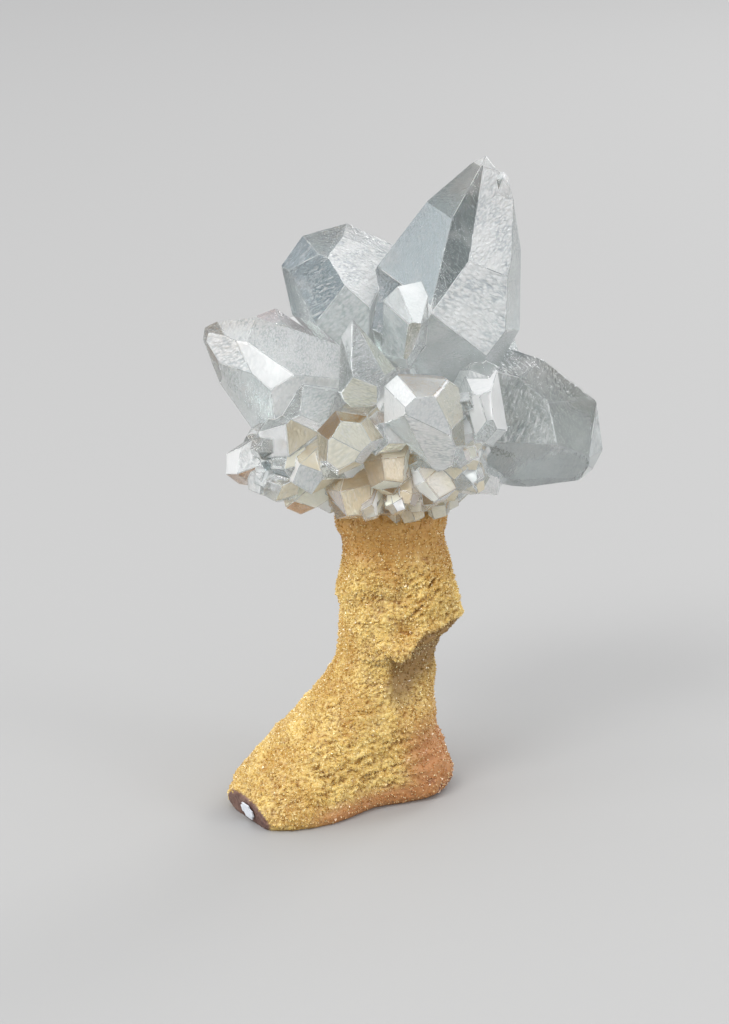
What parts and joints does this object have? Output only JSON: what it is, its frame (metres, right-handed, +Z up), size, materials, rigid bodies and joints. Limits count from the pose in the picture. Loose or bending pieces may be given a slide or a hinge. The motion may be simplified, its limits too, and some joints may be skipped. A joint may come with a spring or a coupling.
{
  "type": "calcite specimen",
  "caption": "Clear calcite crystals fanned round the end of a drusy ochre stalactite, standing on its own foot as a display specimen.",
  "frame": {"origin": "on the surface the foot stands on, under the middle of the whole outline", "axes": "+Z up along the stalactite to the tallest crystal's tip, +X to the right and -Y towards the viewer in the front view"},
  "size_m": [0.1067, 0.078, 0.1722],
  "materials": {
    "ochre_calcite": "matte",
    "clear_calcite": "gloss",
    "plain_paper": "matte"
  },
  "bodies": {
    "root": {"stalactite": "ochre_calcite", "crystal_cluster": "clear_calcite", "paper_label": "plain_paper"}
  },
  "joints": []
}
